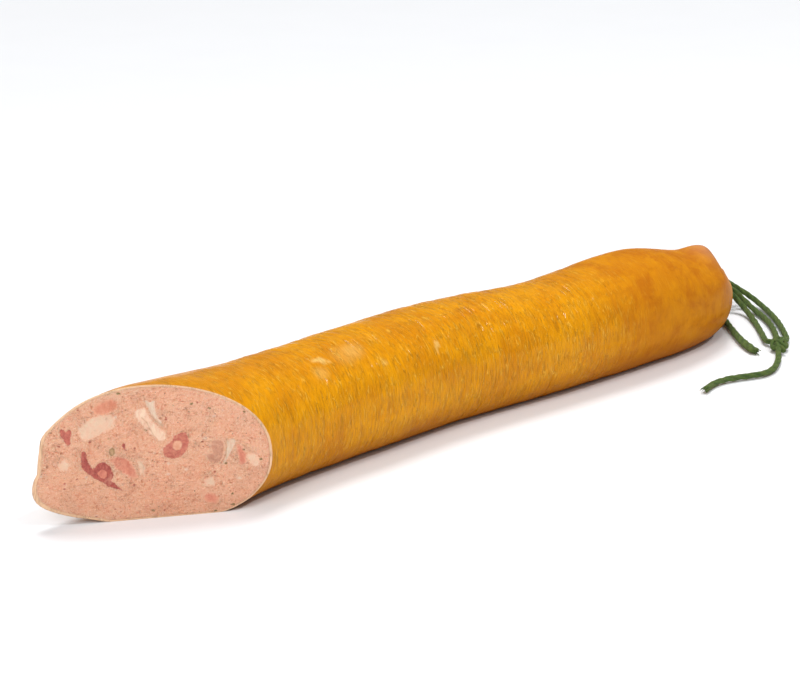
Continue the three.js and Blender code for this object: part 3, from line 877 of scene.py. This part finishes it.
# The pieces that hold another piece as their core.
CORES = {"meat_ring": "ring_core", "dark_meat_strip": "strip_core"}

# Brown threads and tears: their line in the plane of the cut, half width and strength.
VEINS = (
    (((-4.8, 20.5), (-4.1, 17.8), (-2.6, 14.9), (-0.7, 12.3), (1.5, 10.3)), 0.38, 0.8),
    (((-5.8, 14.0), (-3.8, 11.7), (-3.0, 9.5), (-1.7, 7.0), (0.0, 4.4)), 0.17, 0.8),
    (((-3.2, 9.7), (-2.9, 9.2)), 0.32, 0.8),
    (((-6.7, -2.4), (-5.5, -4.3), (-5.6, -7.1), (-6.8, -8.5)), 0.2, 0.55),
)


def face_outlines(node):
    """The closed outlines of a CAD node's flat front, as edges in the plane of the cut."""
    bm = bmesh.new()
    bm.from_mesh(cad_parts[node].data)
    bmesh.ops.remove_doubles(bm, verts=bm.verts, dist=1e-6)
    ends = []
    for edge in bm.edges:
        ahead = [face.normal.dot(Vector(CUT_NORMAL)) > 0.99 for face in edge.link_faces]
        if sorted(ahead) == [False, True]:
            ends.append([np.array(v.co) / MM + ORIGIN - CUT_MIDDLE for v in edge.verts])
    bm.free()
    if not ends:
        raise RuntimeError(f"{node} has no flat front at the cut")
    ends = np.array(ends)
    front = np.abs(ends @ CUT_NORMAL).max(axis=1) < 0.2
    return np.stack([ends[front] @ CUT_RIGHT, ends[front] @ CUT_UP], axis=-1)


def from_line(start, end, right, up):
    """How far each place is from the straight line between two points."""
    (ax, ay), (bx, by) = start, end
    dx, dy = bx - ax, by - ay
    t = np.clip(((right - ax) * dx + (up - ay) * dy) / (dx * dx + dy * dy), 0, 1)
    return np.hypot(right - ax - t * dx, up - ay - t * dy)


def depth_inside(edges, right, up):
    """How far inside closed outlines each place is, negative outside."""
    nearest = np.full(len(right), 1e9)
    crossings = np.zeros(len(right), int)
    for start, end in edges:
        nearest = np.minimum(nearest, from_line(start, end, right, up))
        (ax, ay), (bx, by) = start, end
        if ay != by:
            spans = (ay > up) != (by > up)
            crossings += spans & (right < ax + (up - ay) * (bx - ax) / (by - ay))
    return np.where(crossings % 2 == 1, nearest, -nearest)


def ragged_depth(node, right, up):
    """Depth inside a piece whose edge wanders a little from its plain outline."""
    _, wander, soft = CHUNKS[node]
    seat = 3.0 * (sorted(CHUNKS).index(node) + 1)
    broad = noise_at(right / 1.7, up / 1.7, seat)
    fine = noise_at(right / 0.55, up / 0.55, seat + 1)
    plain = depth_inside(face_outlines(node), right, up)
    return plain + wander * (broad + 0.6 * fine) + 0.5 * soft


def own_share(node, depth, right, up):
    """How much each place shows a piece's own colour, which reaches in as far as its core."""
    soft = CHUNKS[node][2]
    if node not in CORES:
        return depth / soft
    edges = face_outlines(node)
    middle = edges.mean(axis=1)
    core = face_outlines(CORES[node])
    by_core = depth_inside(core, middle[:, 0], middle[:, 1]) > -0.8
    filled = depth_inside(edges[~by_core], right, up)
    plain = depth_inside(edges, right, up)
    return np.maximum(depth, filled + depth - plain) / soft


def veins_at(right, up):
    """How much of a brown thread there is at each place in the plane of the cut."""
    most = np.zeros_like(right)
    for points, width, strength in VEINS:
        for start, end in zip(points, points[1:]):
            away = from_line(start, end, right, up)
            most = np.maximum(most, strength * np.exp(-((away / width) ** 2)))
    return most


def face_relief(right, up, height):
    """The crumbly relief of the cut: knife drag, crumbs and small holes. Also its slow waves."""
    waves = noise_at(right / 9, up / 7, 2)
    drag = noise_at(right / 6, up / 1.1, 7)
    crumbs = noise_at(right / 1.2, up / 0.95, 0, octaves=3)
    holes = noise_at(right / 0.95, up / 0.8, 31)
    pits = smooth_step(0.36, 0.5, holes) * smooth_step(-0.25, 0.3, waves)
    slow = waves * 0.25
    return slow + height * (0.8 * crumbs + 0.3 * drag) - height * 2.4 * pits, slow


def near_face(node, right, up):
    """Which places are within reach of a piece."""
    outline = face_outlines(node).reshape(-1, 2)
    low, high = outline.min(0) - 1.5, outline.max(0) + 1.5
    return (right > low[0]) & (right < high[0]) & (up > low[1]) & (up < high[1])


class SAUSAGE_OT_filling(bpy.types.Operator):
    """Makes the meat paste: a body with a crumbly cut face and a pocket for each piece in it"""

    bl_idname = "sausage.filling"
    bl_label = "Filling"

    def execute(self, context):
        sizes = context.scene.sausage_sizes
        height = sizes.crumb_height / MM
        pocket = sizes.chunk_thickness / MM
        angles = np.linspace(0, 2 * math.pi, FACE_ROUND + 1) + SEAM_ANGLE
        inset = cut_walls(angles, sizes.casing_wall / MM) + PASTE_GAP
        start = cut_station(angles, inset)
        rim = skin_points(start, angles, -inset) - CUT_MIDDLE
        rim_right, rim_up = rim @ CUT_RIGHT, rim @ CUT_UP
        rows = FACE_ROWS + BODY_ROWS + 1

        def place(row, column):
            share = np.clip(row / FACE_ROWS, 0, 1)
            right, up = rim_right[column] * share, rim_up[column] * share
            from_rim = (1 - share) * np.hypot(rim_right[column], rim_up[column])
            relief, _ = face_relief(right, up, height)
            relief *= smooth_step(0.0, 0.8, from_rim)
            relief -= 0.12 * smooth_step(0.9, 0.0, from_rim)
            for node in CHUNKS:
                near = near_face(node, right, up)
                depth = ragged_depth(node, right[near], up[near])
                relief[near] -= pocket * smooth_step(0.25, 0.45, depth)
            into = np.clip((row - FACE_ROWS) / BODY_ROWS, 0, 1)
            station = start[column] + (LAST_FILLED_STATION - start[column]) * into
            sunk = inset[column] + (DEEP_WALL + 0.05) * np.minimum(5 * into, 1)
            body = skin_points(station, angles[column], -sunk)
            points = np.where((row > FACE_ROWS)[:, None], body, on_face(right, up, relief))
            points[row == rows] = along_curve(STATIONS[:, :3], np.array([LAST_FILLED_STATION]))
            return points, {}

        bm = moved_grid(rows, FACE_ROUND, place)
        close_sleeve(bm)
        material = paste_finish(context.scene.sausage_colours)
        finish_piece("filling_paste", bm, material, "filling")
        return {"FINISHED"}


def chunk_finishes(colours):
    """The finish of each record slot, and of the pieces that differ from their slot's."""
    even = (1, 1, 1)
    across = (1.1, 1.1, 0.5)
    dark = (colours.dark, (0.50, 0.12, 0.085))
    brown = ((0.50, 0.125, 0.085), (0.64, 0.21, 0.14))

    def finish(name, first, second, streak, gloss, **edges):
        return chunk_finish(name, colours, first, second, streak, gloss, **edges)

    return {
        "fat": finish("pork_fat", colours.fat, (0.82, 0.52, 0.36), (1, 1, 0.6), 0.42),
        "fat_fold": finish("folded_fat", (0.86, 0.53, 0.37), (0.90, 0.65, 0.47),
                           (1.2, 1.2, 0.4), 0.40),
        "ring_core": finish("marrow_fat", (0.76, 0.34, 0.20), (0.83, 0.45, 0.29), even, 0.45,
                            bed=brown),
        "sinew": finish("sinew", (0.70, 0.47, 0.32), (0.79, 0.60, 0.46), (1.4, 1.4, 0.35), 0.34),
        "gristle": finish("gristle", colours.gristle, (0.63, 0.325, 0.21), even, 0.26,
                          rim=(0.76, 0.42, 0.27)),
        "lean_meat": finish("lean_meat", colours.lean, (0.75, 0.30, 0.195), across, 0.48),
        "lean_meat_top": finish("pale_lean_meat", (0.66, 0.225, 0.125), (0.72, 0.29, 0.18),
                                across, 0.5),
        "strip_core": finish("rosy_lean_meat", (0.60, 0.17, 0.11), (0.72, 0.27, 0.18), across,
                             0.45, bed=dark),
        "dark_meat": finish("dark_meat", *dark, (1.2, 1.2, 0.7), 0.42),
        "meat_ring": finish("brown_meat", *brown, even, 0.44),
        "dark_meat_heart": finish("ruddy_meat", (0.44, 0.10, 0.07), (0.60, 0.17, 0.12), even,
                                  0.44),
        "pepper_seed": finish("peppercorn", (0.62, 0.38, 0.22), (0.54, 0.34, 0.18), even, 0.4,
                              rim=colours.seed),
    }


class SAUSAGE_OT_meat_pieces(bpy.types.Operator):
    """Makes each piece of fat, meat, sinew, gristle and spice that the cut shows"""

    bl_idname = "sausage.meat_pieces"
    bl_label = "Pieces in the filling"

    def execute(self, context):
        sizes = context.scene.sausage_sizes
        finishes = chunk_finishes(context.scene.sausage_colours)
        for node, (slot, _, _) in CHUNKS.items():
            bm = self.slab(node, sizes.crumb_height / MM, sizes.chunk_thickness / MM)
            finish_piece(f"{node}_piece", bm, finishes.get(node, finishes[slot]), node)
        return {"FINISHED"}

    def slab(self, node, crumb_height, thickness):
        """A piece with a crumbly front, cut from a grid over its outline."""
        outline = face_outlines(node).reshape(-1, 2)
        low, high = outline.min(0) - 1, outline.max(0) + 1
        rows, columns = (int(n) for n in np.ceil((high - low) / CHUNK_GRID))

        def place(row, column):
            right = low[0] + (high[0] - low[0]) * row / rows
            up = low[1] + (high[1] - low[1]) * column / columns
            depth = ragged_depth(node, right, up)
            own = own_share(node, depth, right, up)
            rough, slow = face_relief(right, up, crumb_height)
            inside = smooth_step(-0.25, 0.5, depth)
            crown = 0.05 * smooth_step(-0.1, 0.7, depth) - 0.30 * smooth_step(0.0, -0.35, depth)
            crown += 0.08 * np.clip(own, 0, 1)
            out = slow + (rough - slow) * (1 - 0.75 * inside) + crown
            values = {"depth": depth, "own": own, "vein": veins_at(right, up)}
            return on_face(right, up, out), values

        bm = moved_grid(rows, columns, place)
        layer = bm.verts.layers.float["depth"]
        outside = [f for f in bm.faces if all(v[layer] < -0.38 for v in f.verts)]
        bmesh.ops.delete(bm, geom=outside, context="FACES")
        self.drop_islands(bm)
        front = list(bm.faces)
        for face in front:
            if face.normal.dot(Vector(CUT_NORMAL)) < 0:
                face.normal_flip()
        made = bmesh.ops.extrude_face_region(bm, geom=front, use_keep_orig=True)
        back = [v for v in made["geom"] if isinstance(v, bmesh.types.BMVert)]
        inwards = -PLAIN_BACK * thickness * Vector(CUT_NORMAL)
        bmesh.ops.translate(bm, verts=back, vec=inwards)
        bmesh.ops.recalc_face_normals(bm, faces=bm.faces)
        return bm

    def drop_islands(self, bm):
        """Keeps only the largest patch of faces that are joined by their edges."""
        left = set(bm.faces)
        patches = []
        while left:
            patch, front = set(), [left.pop()]
            while front:
                face = front.pop()
                patch.add(face)
                for edge in face.edges:
                    joined = left.intersection(edge.link_faces)
                    left -= joined
                    front.extend(joined)
            patches.append(patch)
        largest = max(patches, key=len)
        bmesh.ops.delete(bm, geom=[f for f in bm.faces if f not in largest], context="FACES")


# ---------------------------------------------------------------- the twine

TWINE_SIDES = 24
TWINE_STEP = 0.45
PLIES = 3
PLY_TWIST = 0.36            # radians of turn for each millimetre along
FRAYED_WIDER = 0.8          # how much wider the frayed strand gets towards its end
FRAY_YARNS = 11
FRAY_BACK = 8               # the loose yarns leave this many steps before the end
YARN_SIDES = 6
YARN_STEP = 0.5
# Loose yarns take nearly the painted highlight of the plies' tops.
YARN_LAY = 0.8              # loose yarns are nearly as light as the tops of the plies


def smooth_route(points, step):
    """Evenly spaced points of the centripetal curve through a route's points, and its length."""
    route = np.array(points, float)
    before, after = 2 * route[0] - route[1], 2 * route[-1] - route[-2]
    route = np.vstack([before, route, after])
    path = []
    for p0, p1, p2, p3 in zip(route, route[1:], route[2:], route[3:]):
        t0, t1 = 0.0, np.linalg.norm(p1 - p0) ** 0.5
        t2 = t1 + np.linalg.norm(p2 - p1) ** 0.5
        t3 = t2 + np.linalg.norm(p3 - p2) ** 0.5
        for t in np.linspace(t1, t2, 24, endpoint=False):
            a1 = (t1 - t) / (t1 - t0) * p0 + (t - t0) / (t1 - t0) * p1
            a2 = (t2 - t) / (t2 - t1) * p1 + (t - t1) / (t2 - t1) * p2
            a3 = (t3 - t) / (t3 - t2) * p2 + (t - t2) / (t3 - t2) * p3
            b1 = (t2 - t) / (t2 - t0) * a1 + (t - t0) / (t2 - t0) * a2
            b2 = (t3 - t) / (t3 - t1) * a2 + (t - t1) / (t3 - t1) * a3
            path.append((t2 - t) / (t2 - t1) * b1 + (t - t1) / (t2 - t1) * b2)
    path = np.array([*path, route[-2]])
    run = run_along(path)
    count = max(int(round(run[-1] / step)), 8)
    even = np.linspace(0, run[-1], count + 1)
    return np.stack([np.interp(even, run, path[:, k]) for k in range(3)], axis=1), run[-1]


def carried_frames(path):
    """A tangent and two cross directions at each point, carried along without twisting."""
    tangents = np.gradient(path, axis=0)
    tangents /= np.linalg.norm(tangents, axis=1)[:, None]
    side = np.cross(tangents[0], (0, 0, 1.0))
    side /= np.linalg.norm(side)
    sides = []
    for tangent in tangents:
        side = side - (side @ tangent) * tangent
        side /= np.linalg.norm(side)
        sides.append(side.copy())
    sides = np.array(sides)
    return tangents, sides, np.cross(tangents, sides)


def tube(path, corners, section):
    """A closed tube along a path. section gives, for arrays of the path's point numbers and of
    angles round it, its reach sideways and upwards, and how high on a ply each place is."""
    rows = len(path) - 1
    _, sides, ups = carried_frames(path)

    def place(row, column):
        at = np.clip(row - 1, 0, rows)
        angle = 2 * math.pi * column / corners
        wide, tall, lay = section(at, angle)
        out = (np.cos(angle) * wide)[:, None] * sides[at]
        out += (np.sin(angle) * tall)[:, None] * ups[at]
        out[(row == 0) | (row == rows + 2)] = 0
        points = path[at] + out
        points[:, 2] = np.maximum(points[:, 2], ABOVE_FLOOR)
        return points, {"lay": lay}

    bm = moved_grid(rows + 2, corners, place)
    close_sleeve(bm)
    return bm


def twine_tube(path, diameter, seed, flare=0.0):
    """Three-ply twine along a path, its ends rounded off. flare widens its last part."""
    run = run_along(path)

    def section(at, angle):
        s = run[at]
        cosine, sine = np.cos(angle), np.sin(angle)
        ply = np.abs(np.cos(PLIES / 2 * (angle - PLY_TWIST * s + seed)))
        wobble = noise_at(s / 2.2, cosine * 1.1, sine * 1.1 + seed)
        fuzz = noise_at(s / 0.6, cosine * 2.6, sine * 2.6 + seed)
        radius = diameter / 2 * (0.72 + 0.12 * ply + 0.12 * wobble + 0.07 * fuzz)
        from_end = np.minimum(s, run[-1] - s)
        radius *= np.clip(0.55 + 0.45 * np.sqrt(np.clip(from_end / 0.7, 0, 1)), 0, 1)
        return radius * (1 + flare * smooth_step(0.45, 1.0, s / run[-1])), radius, ply

    return tube(path, TWINE_SIDES, section)


def yarn_tube(path, diameter):
    """A thin plain yarn that narrows to its tip."""
    def section(at, angle):
        radius = diameter / 2 * (1 - 0.55 * at / (len(path) - 1))
        return radius, radius, np.full(len(at), YARN_LAY)

    return tube(path, YARN_SIDES, section)


def join_bmesh(bm, other):
    """Adds another bmesh's faces to bm."""
    spare = bpy.data.meshes.new("spare")
    other.to_mesh(spare)
    other.free()
    bm.from_mesh(spare)
    bpy.data.meshes.remove(spare)


class SAUSAGE_OT_twine_strands(bpy.types.Operator):
    """Makes the loose twine: the hanging loop's strands, the long tail and the frayed short one"""

    bl_idname = "sausage.twine_strands"
    bl_label = "Loose twine"

    def execute(self, context):
        material = twine_finish(context.scene.sausage_colours)
        diameter = context.scene.sausage_sizes.twine_diameter / MM
        for index, (node, points) in enumerate(TWINE_STRANDS.items()):
            path, run = smooth_route(points, TWINE_STEP)
            flare = FRAYED_WIDER if node == FRAYED_STRAND else 0.0
            bm = twine_tube(path, diameter, 1.7 * index, flare)
            if FAR_ENDS[node] == "bare":
                self.fray(bm, path, diameter, index)
            piece = finish_piece(f"{node}_twine", bm, material, node)
            metres = [tuple((p - ORIGIN) * MM) for p in path]
            metres[::4] + [metres[-1]]
        return {"FINISHED"}

    def fray(self, bm, path, diameter, seed):
        """Loose yarns that spread a little at a cut end."""
        draw = random.Random(seed)
        tangents, sides, ups = carried_frames(path)
        root, side, up = path[-FRAY_BACK], sides[-FRAY_BACK], ups[-FRAY_BACK]
        for _ in range(FRAY_YARNS):
            turn = draw.uniform(0, 2 * math.pi)
            off = draw.uniform(0.2, 0.8) * diameter / 2
            start = root + side * math.cos(turn) * off + up * math.sin(turn) * off * 0.7
            spread = sides[-1] * math.cos(turn) * draw.uniform(0.3, 1.5)
            reach = draw.uniform(3.2, 5.6)
            tip = start + tangents[-1] * reach + spread + ups[-1] * draw.uniform(-0.3, 0.5)
            middle = (start + tip) / 2 + sides[-1] * draw.uniform(-0.25, 0.25)
            yarn, _ = smooth_route([start, middle, tip], YARN_STEP)
            yarn[:, 2] = np.maximum(yarn[:, 2], 0.4)
            join_bmesh(bm, yarn_tube(yarn, draw.uniform(0.45, 0.75)))


def knot_path(centre, turn, length, width, height, phase):
    """A closed trefoil of twine, flattened to the room of a knot."""
    t = np.linspace(0, 2 * math.pi, 90)
    u = (np.sin(t + phase) + 2 * np.sin(2 * t + phase)) / 3 * length
    v = (np.cos(t + phase) - 2 * np.cos(2 * t + phase)) / 3 * width
    w = -np.sin(3 * t) * height
    points = np.stack([u * math.cos(turn) - v * math.sin(turn),
                       u * math.sin(turn) + v * math.cos(turn), w], axis=1)
    return centre + points


class SAUSAGE_OT_tie(bpy.types.Operator):
    """Makes the tie: turns of twine round the neck, its knot, and the hanging loop's knot"""

    bl_idname = "sausage.tie"
    bl_label = "Tie and knots"

    def execute(self, context):
        sizes = context.scene.sausage_sizes
        material = twine_finish(context.scene.sausage_colours)
        diameter = sizes.twine_diameter / MM
        coil = twine_tube(self.winding(diameter, sizes.twine_turns), diameter * 0.98, 0.2)
        finish_piece("winding_twine", coil, material, "twine_winding")
        tie = knot_path(TIE_KNOT_AT, TIE_KNOT_TURN, 1.7, 1.9, 1.5, 0.3)
        knot = twine_tube(tie, diameter * 0.72, 0.5)
        finish_piece("tie_knot_twine", knot, material, "tie_knot")
        loop = knot_path(LOOP_KNOT_AT, LOOP_KNOT_TURN, 6.2, 3.3, 1.1, 0.9)
        knot = twine_tube(loop, diameter * 0.85, 2.5)
        for seed, route in enumerate(self.into_knot()):
            path, _ = smooth_route(route, TWINE_STEP)
            join_bmesh(knot, twine_tube(path, diameter * 0.95, seed))
        finish_piece("loop_knot_twine", knot, material, "loop_knot")
        return {"FINISHED"}

    def into_knot(self):
        """Where the loose twine runs on into the loop's knot, and the knot's own short end."""
        routes = [LOOP_KNOT_END]
        ends = [points[-2:] for node, points in TWINE_STRANDS.items() if node.startswith("loop_")]
        for before, meet in (*ends, TWINE_STRANDS["long_tail"][1::-1]):
            heading = np.subtract(meet, before) / math.dist(meet, before)
            inward = (LOOP_KNOT_AT - meet) * 0.7
            bend = meet + heading * 1.8 + inward * 0.25
            routes.append([meet - heading, meet, bend, meet + inward])
        return routes

    def winding(self, diameter, turns):
        """The path of the turns round the neck."""
        radius = NECK_HOLE + diameter / 2 - 0.25
        turned = Vector((0, 0, 1)).rotation_difference(NECK_AXIS)
        t = np.linspace(0, 2 * math.pi * turns, 64 * turns)
        rise = (t / (2 * math.pi) - turns / 2) * diameter * 0.92
        coil = [turned @ Vector((radius * math.cos(a), radius * math.sin(a), h))
                for a, h in zip(t + 0.6, rise)]
        return np.array([NECK + np.array(p) for p in coil])


# ---------------------------------------------------------------- the stage

CAMERA_TURN = -44               # degrees round from the front
CAMERA_RISE = 18                # degrees above level
CAMERA_DISTANCE = 1.0
CAMERA_AIM = np.array([86.5, -33, 51.5])
CAMERA_LENS = 124.2
CAMERA_SENSOR = 36
CAMERA_REACH = (0.05, 20)
FLOOR_HALF = 4.0
FLOOR_FACES = 8
SKY_STRENGTH = 0.24
SOFTBOX_AIM = Vector((0, 0, 0.03))

# Each softbox: name, degrees round and up, distance and size in metres, power.
SOFTBOXES = (
    ("key_softbox", 26, 50, 1.4, 0.08, 4.4),
    ("glint_softbox", -12, 64, 1.4, 0.08, 2.2),
    ("fill_softbox", -62, 34, 2.2, 1.0, 19.5),
)
# Each broad light from far off: name, degrees round and up, width in degrees, strength.
SKYLIGHTS = (
    ("back_skylight", 142, 72, 26, 2.0),
    ("top_skylight", -20, 70, 40, 0.25),
)


def direction(turn, rise):
    """The way to something so many degrees round from the front and above level."""
    turn, rise = math.radians(turn), math.radians(rise)
    return Vector((math.sin(turn) * math.cos(rise), -math.cos(turn) * math.cos(rise),
                   math.sin(rise)))


def stand(scene, name, data, place, target):
    """Puts a camera or a lamp in the scene, turned to its target."""
    thing = bpy.data.objects.new(name, data)
    scene.collection.objects.link(thing)
    thing.location = place
    thing.rotation_euler = (target - thing.location).to_track_quat("-Z", "Y").to_euler()
    return thing


class SAUSAGE_OT_stage(bpy.types.Operator):
    """Makes the camera, the plain pale floor and the soft studio lights"""

    bl_idname = "sausage.stage"
    bl_label = "Stage"

    def execute(self, context):
        scene = context.scene
        self.camera(scene)
        self.floor(scene)
        for light in SOFTBOXES:
            self.softbox(scene, *light)
        for light in SKYLIGHTS:
            self.skylight(scene, *light)
        world = bpy.data.worlds.new("studio")
        world.use_nodes = True
        background = world.node_tree.nodes["Background"]
        background.inputs["Color"].default_value = (1, 1, 1, 1)
        background.inputs["Strength"].default_value = SKY_STRENGTH
        scene.world = world
        scene.view_settings.view_transform = "Standard"
        return {"FINISHED"}

    def camera(self, scene):
        target = Vector((CAMERA_AIM - ORIGIN) * MM)
        lens = bpy.data.cameras.new("camera")
        lens.lens = CAMERA_LENS
        lens.sensor_width = CAMERA_SENSOR
        lens.clip_start, lens.clip_end = CAMERA_REACH
        place = target + direction(CAMERA_TURN, CAMERA_RISE) * CAMERA_DISTANCE
        scene.camera = stand(scene, "camera", lens, place, target)

    def floor(self, scene):
        bm = bmesh.new()
        bmesh.ops.create_grid(bm, x_segments=FLOOR_FACES, y_segments=FLOOR_FACES, size=FLOOR_HALF)
        mesh = bpy.data.meshes.new("floor")
        bm.to_mesh(mesh)
        bm.free()
        mesh.materials.append(floor_finish())
        floor = bpy.data.objects.new("floor", mesh)
        scene.collection.objects.link(floor)

    def softbox(self, scene, name, turn, rise, distance, size, power):
        lamp = bpy.data.lights.new(name, "AREA")
        lamp.shape = "SQUARE"
        lamp.size = size
        lamp.energy = power
        stand(scene, name, lamp, SOFTBOX_AIM + direction(turn, rise) * distance, SOFTBOX_AIM)

    def skylight(self, scene, name, turn, rise, width, strength):
        lamp = bpy.data.lights.new(name, "SUN")
        lamp.angle = math.radians(width)
        lamp.energy = strength
        stand(scene, name, lamp, direction(turn, rise) * 2, Vector())


# ---------------------------------------------------------------- panel and registration

class SAUSAGE_PT_panel(bpy.types.Panel):
    bl_label = "Smoked Sausage"
    bl_idname = "SAUSAGE_PT_panel"
    bl_space_type = "VIEW_3D"
    bl_region_type = "UI"
    bl_category = "Sausage"

    def draw(self, context):
        layout = self.layout
        for operator in OPERATORS:
            layout.operator(operator.bl_idname)
        for group in (context.scene.sausage_sizes, context.scene.sausage_colours):
            box = layout.box()
            for name in group.bl_rna.properties.keys():
                if name not in ("rna_type", "name"):
                    box.prop(group, name)


OPERATORS = (
    SAUSAGE_OT_stage,
    SAUSAGE_OT_twine_strands,
    SAUSAGE_OT_tie,
    SAUSAGE_OT_casing,
    SAUSAGE_OT_filling,
    SAUSAGE_OT_meat_pieces,
)
CLASSES = (SausageSizes, SausageColours, *OPERATORS, SAUSAGE_PT_panel)


def register():
    for cls in CLASSES:
        bpy.utils.register_class(cls)
    bpy.types.Scene.sausage_sizes = PointerProperty(type=SausageSizes)
    bpy.types.Scene.sausage_colours = PointerProperty(type=SausageColours)


def unregister():
    del bpy.types.Scene.sausage_colours
    del bpy.types.Scene.sausage_sizes
    for cls in reversed(CLASSES):
        bpy.utils.unregister_class(cls)


def main():
    register()
    bpy.ops.sausage.stage()
    bpy.ops.sausage.twine_strands()
    bpy.ops.sausage.tie()
    bpy.ops.sausage.casing()
    bpy.ops.sausage.filling()
    bpy.ops.sausage.meat_pieces()


if __name__ == "__main__":
    main()
